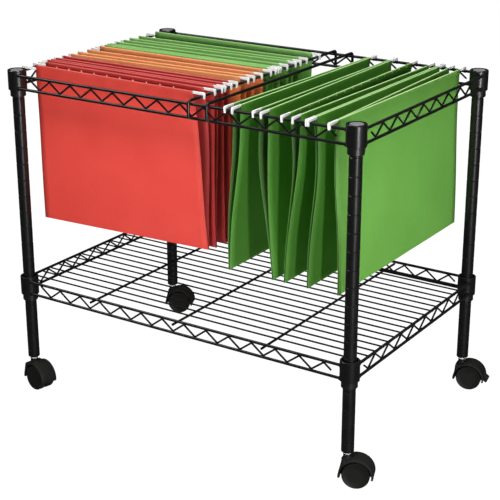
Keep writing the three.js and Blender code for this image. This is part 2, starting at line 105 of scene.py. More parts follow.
# Shelf deck and cross rails
DECK_WIRES = 18
DECK_PITCH = 19.4 * MM
DECK_R = 1.35 * MM
DECK_BELOW_WIRE = 2.6 * MM
CROSSBAR_R = 1.9 * MM
CROSSBAR_PITCH = 155 * MM
CROSSBAR_BELOW_WIRE = 5.3 * MM
CROSSBAR_NUB = 4 * MM
CROSS_RAIL_BEND = 5 * MM
CROSS_RAIL_BEAD = (2.8 * MM, 1.6 * MM, 1.6 * MM)

# Sleeves, with a slit in degrees, and caps
SLEEVE_SHOWS = 10 * MM
SLEEVE_INSIDE = 24 * MM
SLEEVE_R_BOTTOM = 11.8 * MM
SLEEVE_R_TOP = 10.9 * MM
SLEEVE_EDGE = 0.8 * MM
SLEEVE_SLIT = 6
CAP_R = 9.6 * MM
CAP_LIP = 0.5 * MM
CAP_DOME_R = 9.2 * MM
CAP_CROWN = 1.7 * MM
CAP_PLUG = 6 * MM
CAP_STEPS = 6

# Casters, with angles in degrees
WHEEL_INNER = 2.4 * MM
WHEEL_RIM = 12.1 * MM
WHEEL_RIM_ROUNDING = 0.8 * MM
WHEEL_RIM_CORNER = WHEEL_RIM_ROUNDING / 3
WHEEL_FACE_R = 19.1 * MM
WHEEL_FACE = 13.2 * MM
WHEEL_DISC_R = 17.4 * MM
WHEEL_DISC_STEP = 0.35 * MM
WHEEL_CROWN = 13.7 * MM
WHEEL_BORE = 2.8 * MM
WHEEL_BORE_END = 11.8 * MM
HOOD_R = 25.2 * MM
HOOD_WELL_R = 22.3 * MM
HOOD_HALF_WIDTH = 14.1 * MM
HOOD_CROWN = 0.45 * MM
HOOD_CROWN_HALFWAY = 0.75 * HOOD_CROWN
HOOD_EDGE = 0.9 * MM
HOOD_EDGE_CORNER = 0.3 * HOOD_EDGE
HOOD_WEB = 4 * MM
HOOD_TIP = 10
HOOD_FLAT_FROM = 85
HOOD_NOTCH = 12
BRAKE_NOTCH = 36
NOTCH_POWER = 3
NECK_R = 6 * MM
NECK_ROOT_R = 8.4 * MM
NECK_ROOT = 36 * MM
NECK_SHOULDER = 42 * MM
NECK_FLARE = 3 * MM
NECK_EDGE = 0.5 * MM
STEM_R = 5.4 * MM
STEM_PIN_R = 4 * MM
STEM_PIN = 8 * MM
STEM_GAP = 3.2 * MM
BRAKE_WIDTH = 11 * MM
BRAKE_EDGE = 0.8 * MM
BRAKE_PIN_R = 0.8 * MM
BRAKE_PIN_HALF = 10.5 * MM
# From the pedal's pin, in mm
BRAKE_OUTLINE = ((-1, 4), (9.2, -3.2), (5.8, -11.2), (2.2, -9.8), (-1.6, -2))

# Folders
CARD = 0.5 * MM
HEM = 10 * MM
HEM_OPEN = 0.9 * MM
ROD_R = 1.2 * MM
ROD_STEPS = 10
FLAP_STEPS = 22
FLAP_COLUMNS = 26
FOLD_R = 1.0 * MM
FOLD_STEPS = 7
FLUTTER = 0.7 * MM
FLUTTER_WAVES = 1.4
SWELL_AT_FIRST_END = 0.4
HOOK_W = 2.3 * MM
HOOK_TIP_W = 2.9 * MM
HOOK_TIP_DROP = 6.2 * MM
HOOK_BAR = 3.6 * MM
HOOK_PLAY = 0.9 * MM
HOOK_ROOT = 2 * MM
HOOK_CORNER = 1.4 * MM
HOOK_TAPER = 0.9 * MM
HOOK_EDGE = 0.4 * MM
LEFT_HANG = {"body": (-285 * MM, 26.5 * MM), "above_posts": 4.2 * MM}
RIGHT_HANG = {"body": (182 * MM, -182 * MM), "above_posts": -0.5 * MM}
# How far down from the hem's top a card carries a painted highlight: a lighter band for the light that
# catches the hem and the top of the flap
LEFT_PAINTED_HIGHLIGHT_DEPTHS = {"red": 1.4 * MM, "orange": 8 * MM, "green": 8 * MM}
RIGHT_PAINTED_HIGHLIGHT_DEPTHS = {"green": 0.4 * MM}
# Folders shorter than their bay's others, from the first to the second end
NARROW_BODIES = {"red_1": (-278 * MM, 22 * MM)}
# Each rod and fold has its place across the bay, in mm, at the body's first and second end. A base is
# the width of a full folder's bottom. Each flap swells by so much at mid-height and sways by so much
# above and below it, at the second end
LEFT_FOLDERS = {
    "red_1": {"near": (-160.5, -170), "far": (-136, -144), "fold": (-155.5, -138),
              "near_swell": (1.5, 1.5), "far_swell": (7, 2)},
    "red_2": {"near": (-124, -126), "far": (-116, -118.5), "fold": (-118, -124.5),
              "near_swell": (-1, 0.5), "far_swell": (1.5, 1)},
    "red_3": {"near": (-104.5, -103), "far": (-87.5, -89), "fold": (-97, -99.5), "base": (0, 14),
              "near_swell": (-1.2, 0.4), "far_swell": (1.2, 0.6)},
    "orange_1": {"near": (-69, -59.5), "far": (-53, -44), "fold": (-62, -62),
                 "near_swell": (-1.5, 0.5), "far_swell": (1, 0.8)},
    "orange_2": {"near": (-30, -23), "far": (2, 2), "fold": (-16, -18),
                 "near_swell": (-1, 0.5), "far_swell": (1.5, 0.7)},
    "green_1": {"near": (14, 15), "far": (21, 22), "fold": (17, 17),
                "near_swell": (-1, 0.6), "far_swell": (1, 0.4)},
    "green_2": {"near": (28, 28.5), "far": (44, 48), "fold": (38, 39),
                "near_swell": (-1, 0.5), "far_swell": (1.5, 0.6)},
    "green_3": {"near": (63, 72), "far": (80, 86), "fold": (75, 80),
                "near_swell": (-1.5, 0.5), "far_swell": (1, 0.4)},
    "green_4": {"near": (103, 104.5), "far": (149, 144), "fold": (130, 130),
                "near_swell": (1.5, 0.6), "far_swell": (-1.5, 0.5)},
}
RIGHT_FOLDERS = {
    "green_5": {"near": (104.5, 95.7), "far": (108.7, 107.8), "fold": (88, 88),
                "near_swell": (-1, 2), "far_swell": (0.6, 2.6)},
    "green_6": {"near": (141, 141), "far": (145.2, 153.4), "fold": (161, 161),
                "near_swell": (-7, -3), "far_swell": (-4.5, 0)},
    "green_7": {"near": (179.5, 185.6), "far": (209.5, 202.5), "fold": (180, 180),
                "near_swell": (6.6, 2.9), "far_swell": (1.3, 2.4)},
    "green_8": {"near": (222.5, 222.9), "far": (227, 226.2), "fold": (217, 217),
                "near_swell": (4.8, 3), "far_swell": (5.6, 3)},
    "green_9": {"near": (242.5, 256.6), "far": (261, 258), "fold": (265, 265),
                "near_swell": (-1.5, -2), "far_swell": (-1.5, -2)},
}

# Slots for index tabs along a near flap's hem, from the body's first end
SLOT_PITCH = 24.6 * MM
SLOT_W = 2.1 * MM
SLOT_H = 5 * MM
SLOT_ABOVE_HEM = 1.6 * MM
SLOT_LIP = 0.4 * MM
SLOT_EDGE = 0.1 * MM
SLOT_ROWS = {"red_1": {"start": 42 * MM, "count": 10}, "green_7": {"start": 18 * MM, "count": 14}}

# Camera, from the fit to the photograph's post ends
CAMERA_PLACE = Vector((1.0807, -1.6407, 0.9543))
CAMERA_LOOK = Vector((-0.5152, 0.78488, -0.34429))
CAMERA_LENS = 96.0
CAMERA_SENSOR = 36

# Studio
SKY_GLOW = 0.02
FLOOR_GLOW = 0.08
FLOOR_R = 24
COVE_R = 6
COVE_STEPS = 8
FLOOR_WHITE = 1.0
FLOOR_GREY = 0.08
LIGHT_TARGET = (0.05, 0, 0.35)
# Only a glossy light is seen in reflections
LIGHTS = {
    "key": {"place": (2.03, -1.54, 0.5), "size": (0.14, 0.8), "power": 17, "glossy": True},
    "right_fill": {"place": (0.76, -0.15, 0.4), "size": (0.2, 0.4), "power": 2.1, "glossy": False},
    "high_right_fill": {"place": (1.6, 0, 1.7), "size": (0.6, 0.6), "power": 8, "glossy": False},
    "front_fill": {"place": (0, -1.5, 2.2), "size": (1.0, 0.8), "power": 34, "glossy": False},
    "low_front_fill": {"place": (0.08, -0.75, 0.38), "size": (0.3, 0.3), "power": 1.8, "glossy": False},
    "top_fill": {"place": (0.05, 0, 3.2), "size": (0.9, 0.9), "power": 45, "glossy": True},
    "back_fill": {"place": (-0.3, 2.0, 1.2), "size": (1.0, 1.0), "power": 8, "glossy": False},
    "floor_bounce": {"place": (0.25, -0.35, -0.7), "size": (1.6, 1.6), "power": 11, "glossy": False},
}
# Lights that are seen in reflections alone
SHEENS = {
    "key_sheen": {"place": (2.03, -1.45, 0.5), "size": (0.16, 0.9), "power": 40},
    "right_sheen": {"place": (2.2, -0.3, 0.5), "size": (0.8, 0.8), "power": 1.5},
    "left_sheen": {"place": (-1.3, -0.6, 2.0), "size": (0.5, 0.8), "power": 14},
}


# Places that follow from the frame
def post_axis(corner):
    low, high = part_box(f"post_{corner}")
    return (low + high) / 2


POST_LOW, POST_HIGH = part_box("post_front_right")
POST_R = (POST_HIGH.x - POST_LOW.x) / 2
POST_X = post_axis("front_right").x
POST_Y = post_axis("back_right").y
WIRE_X = POST_X + WIRE_OUTSET
WIRE_Y = POST_Y + WIRE_OUTSET
TOP_COLLAR = POST_HIGH.z
SHELF_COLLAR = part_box("shelf_rail_front")[1].z
TOP_WIRE_Z = TOP_COLLAR - WIRE_BELOW_COLLAR_TOP
CROSS_RAIL_X = [(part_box(f"cross_rail_{i}")[0].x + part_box(f"cross_rail_{i}")[1].x) / 2 for i in (1, 2)]
CROSS_RAIL_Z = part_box("cross_rail_1")[1].z - WIRE_R


# Meshes
def add_tube(bm, points, radius, sides=TUBE_SIDES):
    """A round wire along the points, with closed ends."""
    points = [Vector(point) for point in points]
    last = len(points) - 1
    normal = (points[1] - points[0]).orthogonal()
    rings = []
    for i, point in enumerate(points):
        tangent = (points[min(i + 1, last)] - points[max(i - 1, 0)]).normalized()
        normal = (normal - tangent * normal.dot(tangent)).normalized()
        across = tangent.cross(normal)
        ring = []
        for k in range(sides):
            angle = math.tau * k / sides
            spoke = math.cos(angle) * normal + math.sin(angle) * across
            ring.append(bm.verts.new(point + radius * spoke))
        rings.append(ring)
    for ring, after in zip(rings, rings[1:]):
        for k in range(sides):
            j = (k + 1) % sides
            bm.faces.new((ring[k], ring[j], after[j], after[k]))
    bm.faces.new(rings[0])
    bm.faces.new(rings[-1])


def rounded(points, radius, steps=BEND_STEPS):
    """The same path with an arc at each inner corner."""
    points = [Vector(point) for point in points]
    path = [points[0]]
    for before, corner, after in zip(points, points[1:], points[2:]):
        back = (before - corner).normalized()
        ahead = (after - corner).normalized()
        half_turn = back.angle(ahead) / 2
        reach = radius / math.tan(half_turn)
        centre = corner + (back + ahead).normalized() * (radius / math.sin(half_turn))
        start = corner + back * reach - centre
        end = corner + ahead * reach - centre
        for step in range(steps + 1):
            spoke = start.normalized().slerp(end.normalized(), step / steps)
            path.append(centre + spoke * start.length)
    path.append(points[-1])
    return path


def add_lathe(bm, profile, place=Matrix(), segments=LATHE_SEGMENTS, slit=0):
    """A profile of (radius, height) points turned about Z; a slit leaves that many degrees open."""
    closed = slit == 0
    sweep = math.tau - math.radians(slit)
    count = segments if closed else segments + 1
    columns = []
    for i in range(count):
        angle = math.radians(slit) / 2 + sweep * i / segments
        column = []
        for k, (radius, height) in enumerate(profile):
            if radius < ON_AXIS and columns:
                column.append(columns[0][k])
            else:
                spot = Vector((radius * math.cos(angle), radius * math.sin(angle), height))
                column.append(bm.verts.new(place @ spot))
        columns.append(column)
    pairs = list(zip(columns, columns[1:]))
    if closed:
        pairs.append((columns[-1], columns[0]))
    for column, after in pairs:
        for k in range(len(profile) - 1):
            corners = dict.fromkeys((column[k], after[k], after[k + 1], column[k + 1]))
            if len(corners) > 2:
                bm.faces.new(tuple(corners))
    if not closed:
        bm.faces.new(columns[0][:-1])
        bm.faces.new(columns[-1][:-1])


def add_bead(bm, spot, size):
    """A weld bead, an ellipsoid of three radii."""
    place = Matrix.Translation(spot) @ Matrix.Diagonal((*size, 1))
    bmesh.ops.create_uvsphere(
        bm, u_segments=BEAD_SEGMENTS, v_segments=BEAD_RINGS, radius=1, matrix=place)


def add_plate(bm, outline, thickness, place, edge):
    """An outline in X and Z with a thickness along Y and softened edges."""
    rims = []
    for side in (-0.5, 0.5):
        rims.append([bm.verts.new(place @ Vector((x, side * thickness, z))) for x, z in outline])
    faces = [bm.faces.new(rims[0]), bm.faces.new(rims[1])]
    for k in range(len(outline)):
        j = (k + 1) % len(outline)
        faces.append(bm.faces.new((rims[0][k], rims[0][j], rims[1][j], rims[1][k])))
    edges = list({side for face in faces for side in face.edges})
    bmesh.ops.bevel(
        bm, geom=edges, offset=edge, segments=EDGE_SEGMENTS, profile=0.5, affect="EDGES")


def make_piece(name, bm, materials, body, nodes=(), sharp=40):
    bmesh.ops.recalc_face_normals(bm, faces=bm.faces)
    mesh = bpy.data.meshes.new(name)
    bm.to_mesh(mesh)
    bm.free()
    mesh.shade_smooth()
    mesh.set_sharp_from_angle(angle=math.radians(sharp))
    for material in materials:
        mesh.materials.append(material)
    piece = bpy.data.objects.new(name, mesh)
    bpy.context.scene.collection.objects.link(piece)
    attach(piece, body)
    if nodes:
        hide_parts(*nodes)
    return piece


# Materials
class Look:
    """A Principled material whose colour, roughness and bump come from noise at real scales."""

    def __init__(self, name):
        self.material = bpy.data.materials.new(name)
        self.material.use_nodes = True
        self.tree = self.material.node_tree
        self.shader = self.tree.nodes["Principled BSDF"]
        self.place = self.tree.nodes.new("ShaderNodeTexCoord").outputs["Object"]

    def set(self, **values):
        for name, value in values.items():
            self.shader.inputs[name.replace("_", " ")].default_value = value
        return self

    def noise(self, scale, detail=3, stretch=(1, 1, 1)):
        mapping = self.tree.nodes.new("ShaderNodeMapping")
        mapping.inputs["Scale"].default_value = stretch
        noise = self.tree.nodes.new("ShaderNodeTexNoise")
        noise.inputs["Scale"].default_value = scale
        noise.inputs["Detail"].default_value = detail
        self.tree.links.new(self.place, mapping.inputs["Vector"])
        self.tree.links.new(mapping.outputs["Vector"], noise.inputs["Vector"])
        return noise.outputs["Fac"]

    def upward(self):
        """How far the surface faces up, from -1 to 1."""
        geometry = self.tree.nodes.new("ShaderNodeNewGeometry")
        split = self.tree.nodes.new("ShaderNodeSeparateXYZ")
        self.tree.links.new(geometry.outputs["Normal"], split.inputs["Vector"])
        return split.outputs["Z"]

    def ramp(self, value, low, high, start=0.3, end=0.7):
        ramp = self.tree.nodes.new("ShaderNodeValToRGB")
        ramp.color_ramp.elements[0].position = start
        ramp.color_ramp.elements[1].position = end
        ramp.color_ramp.elements[0].color = (*low, 1)
        ramp.color_ramp.elements[1].color = (*high, 1)
        self.tree.links.new(value, ramp.inputs["Fac"])
        return ramp.outputs["Color"]

    def blend(self, mode, first, second):
        mix = self.tree.nodes.new("ShaderNodeMix")
        mix.data_type = "RGBA"
        mix.blend_type = mode
        mix.inputs["Factor"].default_value = 1
        self.tree.links.new(first, mix.inputs["A"])
        self.tree.links.new(second, mix.inputs["B"])
        return mix.outputs["Result"]

    def colour(self, value):
        self.tree.links.new(value, self.shader.inputs["Base Color"])
        return self

    def roughness(self, value, low, high):
        spread = self.tree.nodes.new("ShaderNodeMapRange")
        spread.inputs["To Min"].default_value = low
        spread.inputs["To Max"].default_value = high
        self.tree.links.new(value, spread.inputs["Value"])
        self.tree.links.new(spread.outputs["Result"], self.shader.inputs["Roughness"])
        return self

    def bump(self, value, depth):
        bump = self.tree.nodes.new("ShaderNodeBump")
        bump.inputs["Distance"].default_value = depth
        self.tree.links.new(value, bump.inputs["Height"])
        self.tree.links.new(bump.outputs["Normal"], self.shader.inputs["Normal"])
        return self


def grey(value):
    return (value, value, value)


def powder_coat():
    """Satin black paint with a fine orange peel, a little dustier where it faces up."""
    look = Look("black_powder_coat")
    look.set(Specular_IOR_Level=0.48)
    paint = look.ramp(look.noise(scale=45), grey(0.0028), grey(0.005))
    dust = look.ramp(look.upward(), grey(0), (0.008, 0.008, 0.007), start=0.35, end=1)
    look.colour(look.blend("ADD", paint, dust))
    look.roughness(look.noise(scale=160), low=0.26, high=0.34)
    return look.bump(look.noise(scale=900), depth=0.03 * MM).material


def black_plastic():
    """Moulded plastic with a spark-eroded grain and dust on its upper faces."""
    look = Look("black_moulded_plastic")
    look.set(Specular_IOR_Level=0.2)
    plastic = look.ramp(look.noise(scale=60), (0.0062, 0.0062, 0.0058), (0.0092, 0.0092, 0.0084))
    dust = look.ramp(look.upward(), grey(0), (0.005, 0.005, 0.0045), start=0.3, end=1)
    look.colour(look.blend("ADD", plastic, dust))
    look.roughness(look.noise(scale=220), low=0.52, high=0.68)
    return look.bump(look.noise(scale=1600, detail=5), depth=0.04 * MM).material


def satin_plastic():
    """Smooth injection-moulded plastic of the split sleeves."""
    look = Look("black_satin_plastic")
    look.set(Specular_IOR_Level=0.4)
    look.colour(look.ramp(look.noise(scale=70), grey(0.004), grey(0.0075)))
    look.roughness(look.noise(scale=240), low=0.32, high=0.42)
    return look.bump(look.noise(scale=1300), depth=0.02 * MM).material


def cap_plastic():
    look = Look("grey_cap_plastic")
    look.colour(look.ramp(look.noise(scale=90), grey(0.19), grey(0.24)))
    look.roughness(look.noise(scale=300), low=0.2, high=0.28)
    return look.bump(look.noise(scale=1400), depth=0.02 * MM).material


def bright_zinc():
    look = Look("bright_zinc")
    look.set(Metallic=0.1)
    look.colour(look.ramp(look.noise(scale=200), (0.9, 0.91, 0.92), (0.97, 0.97, 0.97)))
    look.roughness(look.noise(scale=400, stretch=(1, 1, 8)), low=0.22, high=0.36)
    return look.bump(look.noise(scale=1200, stretch=(1, 1, 10)), depth=0.01 * MM).material


def hook_paint():
    look = Look("pale_hook_paint")
    look.colour(look.ramp(look.noise(scale=300), (0.88, 0.89, 0.88), (0.95, 0.95, 0.94)))
    look.roughness(look.noise(scale=500), low=0.35, high=0.5)
    return look.bump(look.noise(scale=1500), depth=0.02 * MM).material


def card(name, low, high):
    """Uncoated card: soft mottling, short paper fibres and a fine tooth."""
    look = Look(f"card_{name}")
    look.set(Specular_IOR_Level=0.3)
    mottle = look.ramp(look.noise(scale=14, detail=4), low, high)
    fibres = look.ramp(look.noise(scale=700, detail=5, stretch=(1, 1, 0.35)), grey(0.94), grey(1.0))
    look.colour(look.blend("MULTIPLY", mottle, fibres))
    look.roughness(look.noise(scale=260), low=0.56, high=0.7)
    return look.bump(look.noise(scale=1100, detail=5), depth=0.05 * MM).material


POWDER_COAT = powder_coat()
BLACK_PLASTIC = black_plastic()
SATIN_PLASTIC = satin_plastic()
CAP_PLASTIC = cap_plastic()
ZINC = bright_zinc()
HOOK_PAINT = hook_paint()
CARDS = {
    "red": card("red", (0.70, 0.058, 0.043), (0.76, 0.07, 0.052)),
    "orange": card("orange", (0.82, 0.21, 0.06), (0.88, 0.235, 0.068)),
    "green": card("green", (0.118, 0.33, 0.05), (0.136, 0.36, 0.058)),
}
# Painted shade: darker copies of the red and green cards for faces that stand in the shade of other folders
PAINTED_SHADE_CARDS = {
    "red": card("painted_shade_red", (0.5, 0.033, 0.031), (0.57, 0.043, 0.04)),
    "green": card("painted_shade_green", (0.088, 0.305, 0.03), (0.102, 0.335, 0.036)),
}
# Folders whose outer faces carry painted shade: a darker copy of their colour for the shade between their
# neighbours
PAINTED_SHADE_FOLDERS = ("red_2", "red_3", "green_5", "green_6", "green_7", "green_8")
# Inside faces: the left bay's reds and the right bay's greens carry painted shade, the right bay's as a
# much darker green for the shade inside its folders
LEFT_INSIDES = {**CARDS, "red": PAINTED_SHADE_CARDS["red"]}
RIGHT_PAINTED_SHADE_INSIDES = {"green": card("painted_shade_inner_green", (0.036, 0.115, 0.013), (0.045, 0.137, 0.018))}
# Painted highlights: lighter copies of the card colours for the hem tops and upper bands where the light
# catches them
LEFT_PAINTED_HIGHLIGHTS = {
    "red": card("painted_highlight_red", (0.56, 0.075, 0.07), (0.64, 0.11, 0.1)),
    "orange": card("painted_highlight_orange", (0.88, 0.34, 0.13), (0.93, 0.39, 0.16)),
    "green": card("painted_highlight_green", (0.23, 0.49, 0.13), (0.27, 0.54, 0.16)),
}
RIGHT_PAINTED_HIGHLIGHTS = {"green": card("painted_highlight_hem_green", (0.38, 0.6, 0.25), (0.46, 0.66, 0.31))}
SLOT_LIPS = {
    "red": card("slot_red", (0.9, 0.42, 0.37), (0.93, 0.52, 0.46)),
    "green": card("slot_green", (0.45, 0.66, 0.28), (0.54, 0.72, 0.36)),
}


# Wire frames
def truss_points(half_length, inset, bends):
    """The zigzag's corner points along X, with the top wire at Z = 0 and a free tail at the end."""
    upper = -ZIGZAG_WELD
    lower = -WIRE_DROP + ZIGZAG_WELD
    half = ZIGZAG_PITCH / 2
    points = []
    for i in range(bends):
        points.append(Vector((-half_length + inset + i * half, 0, lower if i % 2 else upper)))
    last = points[-1]
    across = upper + lower - last.z
    points.append(last + ZIGZAG_TAIL * Vector((half, 0, across - last.z)))
    return points


def add_truss(bm, half_length, zigzag, place):
    """Two wires between posts with a zigzag welded between them."""
    reach = half_length - WIRE_END
    for z in (0, -WIRE_DROP):
        add_tube(bm, [place @ Vector((-reach, 0, z)), place @ Vector((reach, 0, z))], WIRE_R, WIRE_SIDES)
        for end in (-1, 1):
            add_bead(bm, place @ Vector((end * reach, 0, z)), WIRE_END_BEAD)
    points = truss_points(half_length, zigzag["start"], zigzag["bends"])
    add_tube(bm, [place @ point for point in rounded(points, ZIGZAG_BEND)], ZIGZAG_R, THIN_WIRE_SIDES)
    for point in points[:-1]:
        shift = ZIGZAG_BEAD_SHIFT if point.z > -WIRE_DROP / 2 else -ZIGZAG_BEAD_SHIFT
        add_bead(bm, place @ (point + Vector((0, 0, shift))), ZIGZAG_BEAD)


def add_collar(bm, centre, post_top):
    top = post_top + COLLAR_ABOVE_POST
    bottom = post_top - COLLAR_H
    profile = [
        (COLLAR_BORE_TOP, top),
        (COLLAR_R - COLLAR_EDGE, top),
        (COLLAR_R, top - COLLAR_EDGE),
        (COLLAR_R, bottom + COLLAR_EDGE),
        (COLLAR_R - COLLAR_EDGE, bottom),
        (COLLAR_BORE_BOTTOM, bottom),
        (COLLAR_BORE_TOP, top),
    ]
    add_lathe(bm, profile, Matrix.Translation((centre.x, centre.y, 0)))


def side_place(x, wire_z):
    """Turns a truss so that it runs from the back to the front at X."""
    return Matrix.Translation((x, 0, wire_z)) @ Matrix.Rotation(-math.pi / 2, 4, "Z")


def make_wire(name, bm):
    make_piece(f"{name}_wire", bm, [POWDER_COAT], "cart_frame", [name])


def build_collared_rail(name, side, collar_top):
    bm = bmesh.new()
    wire_z = collar_top - WIRE_BELOW_COLLAR_TOP
    add_truss(bm, POST_X, ZIGZAG_FRONT, Matrix.Translation((0, side * WIRE_Y, wire_z)))
    for end in (-1, 1):
        add_collar(bm, Vector((end * POST_X, side * POST_Y, 0)), collar_top)
    make_wire(name, bm)


def build_side_rail(name, end):
    bm = bmesh.new()
    add_truss(bm, POST_Y, ZIGZAG_SIDE, side_place(end * WIRE_X, TOP_WIRE_Z))
    make_wire(name, bm)


def build_shelf_deck():
    bm = bmesh.new()
    wire_z = SHELF_COLLAR - WIRE_BELOW_COLLAR_TOP
    for end in (-1, 1):
        add_truss(bm, POST_Y, ZIGZAG_SIDE, side_place(end * WIRE_X, wire_z))
    for i in range(DECK_WIRES):
        y = (i - (DECK_WIRES - 1) / 2) * DECK_PITCH
        z = wire_z - DECK_BELOW_WIRE
        add_tube(bm, [(-WIRE_X, y, z), (WIRE_X, y, z)], DECK_R, THIN_WIRE_SIDES)
    for step in (-1, 0, 1):
        x = step * CROSSBAR_PITCH
        z = wire_z - CROSSBAR_BELOW_WIRE
        reach = WIRE_Y + CROSSBAR_NUB
        add_tube(bm, [(x, -reach, z), (x, reach, z)], CROSSBAR_R)
    make_wire("shelf_deck", bm)


def build_cross_rail(name, x):
    reach = WIRE_Y + 2 * WIRE_R + GAP
    foot = TOP_WIRE_Z - WIRE_DROP
    corners = [(x, -reach, foot), (x, -reach, CROSS_RAIL_Z), (x, reach, CROSS_RAIL_Z), (x, reach, foot)]
    bm = bmesh.new()
    path = rounded(corners, CROSS_RAIL_BEND, CROSS_RAIL_BEND_STEPS)
    add_tube(bm, path, WIRE_R, WIRE_SIDES)
    for side in (-1, 1):
        for z in (foot, TOP_WIRE_Z):
            add_bead(bm, Vector((x, side * (reach - WIRE_R), z)), CROSS_RAIL_BEAD)
    make_wire(name, bm)


# Posts and the plastic on them
def groove(height):
    """One ring groove's profile, from below."""
    return [
        (POST_R, height - GROOVE_HALF),
        (POST_R - GROOVE_DEPTH, height - GROOVE_FLOOR_HALF),
        (POST_R - GROOVE_DEPTH, height + GROOVE_FLOOR_HALF),
        (POST_R, height + GROOVE_HALF),
    ]


def build_post(corner):
    axis = post_axis(corner)
    low, high = POST_LOW.z, POST_HIGH.z
    inner = POST_R - POST_WALL
    profile = [(inner, low), (POST_R - POST_ROUNDING, low), (POST_R, low + POST_ROUNDING)]
    height = low + GROOVE_FIRST
    while height < high - GROOVE_FIRST:
        profile += groove(height)
        height += GROOVE_PITCH
    profile += [(POST_R, high), (inner, high), (inner, low)]
    bm = bmesh.new()
    add_lathe(bm, profile, Matrix.Translation((axis.x, axis.y, 0)))
    name = f"post_{corner}"
    make_piece(f"{name}_tube", bm, [POWDER_COAT], "cart_frame", [name], sharp=25)


def build_cap(corner):
    """A plug in the post with a thin lip round a low dome."""
    axis = post_axis(corner)
    top = POST_HIGH.z
    plug = POST_R - POST_WALL - GAP
    profile = [
        (0, top - CAP_PLUG),
        (plug, top - CAP_PLUG),
        (plug, top + GAP),
        (CAP_R, top + GAP),
        (CAP_R, top + CAP_LIP),
    ]
    for i in range(CAP_STEPS + 1):
        angle = math.pi / 2 * i / CAP_STEPS
        rise = (CAP_CROWN - CAP_LIP) * math.sin(angle)
        profile.append((CAP_DOME_R * math.cos(angle), top + CAP_LIP + rise))
    bm = bmesh.new()
    add_lathe(bm, profile, Matrix.Translation((axis.x, axis.y, 0)))
    name = f"post_cap_{corner}"
    make_piece(f"{name}_dome", bm, [CAP_PLASTIC], "cart_frame", [name], sharp=60)


def build_sleeve(level, corner, collar_top):
    axis = post_axis(corner)
    base = collar_top - COLLAR_H
    inner = POST_R + GAP
    profile = [
        (inner, base - SLEEVE_SHOWS),
        (SLEEVE_R_BOTTOM - SLEEVE_EDGE, base - SLEEVE_SHOWS),
        (SLEEVE_R_BOTTOM, base - SLEEVE_SHOWS + SLEEVE_EDGE),
        (SLEEVE_R_TOP, base + SLEEVE_INSIDE),
        (inner, base + SLEEVE_INSIDE),
        (inner, base - SLEEVE_SHOWS),
    ]
    towards_middle = math.pi / 2 if axis.y < 0 else -math.pi / 2
    place = Matrix.Translation((axis.x, axis.y, 0)) @ Matrix.Rotation(towards_middle, 4, "Z")
    bm = bmesh.new()
    add_lathe(bm, profile, place, slit=SLEEVE_SLIT)
    name = f"sleeve_{level}_{corner}"
    make_piece(f"{name}_shell", bm, [SATIN_PLASTIC], "cart_frame", [name])


# Casters, in a frame with the swivel axis on Z and the axle along Y
def caster_place(corner):
    swivel = Vector(JOINTS[f"swivel_{corner}"]["pos_m"])
    axle = Vector(JOINTS[f"spin_a_{corner}"]["pos_m"])
    ahead = Vector((axle.x - swivel.x, axle.y - swivel.y, 0))
    heading = math.atan2(ahead.y, ahead.x)
    place = Matrix.Translation((swivel.x, swivel.y, 0)) @ Matrix.Rotation(heading, 4, "Z")
    return place, ahead.length, axle.z


def build_stem(corner, place):
    top = POST_LOW.z
    base = top - STEM_GAP
    profile = [
        (0, base - STEM_PIN),
        (STEM_PIN_R, base - STEM_PIN),
        (STEM_PIN_R, base),
        (STEM_R, base),
        (STEM_R, top - NECK_EDGE),
        (STEM_R - NECK_EDGE, top),
        (0, top),
    ]
    bm = bmesh.new()
    add_lathe(bm, profile, place, segments=STEM_SEGMENTS)
    name = f"caster_stem_{corner}"
    make_piece(f"{name}_ring", bm, [ZINC], "cart_frame", [name])


def build_wheel(letter, corner, place, trail, axle_z):
    """The wheel's radius is the axle's height, so that it stands on the floor."""
    side = -1 if letter == "a" else 1
    radius = axle_z
    profile = [
        (0, WHEEL_CROWN - WHEEL_DISC_STEP),
        (WHEEL_DISC_R / 2, (WHEEL_CROWN + WHEEL_FACE) / 2),
        (WHEEL_DISC_R, WHEEL_FACE - WHEEL_DISC_STEP),
        (WHEEL_DISC_R + WHEEL_DISC_STEP, WHEEL_FACE),
        (WHEEL_FACE_R, WHEEL_FACE),
        (radius - WHEEL_RIM_CORNER, WHEEL_RIM),
        (radius, WHEEL_RIM - WHEEL_RIM_ROUNDING),
        (radius, WHEEL_INNER + WHEEL_RIM_ROUNDING),
        (radius - WHEEL_RIM_ROUNDING, WHEEL_INNER),
        (WHEEL_BORE, WHEEL_INNER),
        (WHEEL_BORE, WHEEL_BORE_END),
        (0, WHEEL_BORE_END),
    ]
    turn = Matrix.Rotation(-side * math.pi / 2, 4, "X")
    bm = bmesh.new()
    at_axle = place @ Matrix.Translation((trail, 0, axle_z)) @ turn
    add_lathe(bm, profile, at_axle, segments=WHEEL_SEGMENTS)
    name = f"caster_wheel_{letter}_{corner}"
    body = f"wheel_{letter}_{corner}"
    make_piece(f"{name}_disc", bm, [BLACK_PLASTIC], body, [name], sharp=50)


def hood_reach(angle, trail, axle_z):
    """How far the hood's outline lies from the axle, at an angle from the trailing side."""
    c, s = math.cos(angle), math.sin(angle)
    shoulder = Vector((-NECK_R - trail, NECK_SHOULDER - axle_z))
    if angle < math.radians(HOOD_FLAT_FROM):
        return HOOD_R
    if angle < math.atan2(shoulder.y, shoulder.x):
        return max(HOOD_R, shoulder.y / s)
    front = Vector((-HOOD_R, 0)) - shoulder
    if angle < math.pi:
        return (shoulder.x * front.y - shoulder.y * front.x) / (c * front.y - s * front.x)
    return HOOD_R / abs(c)


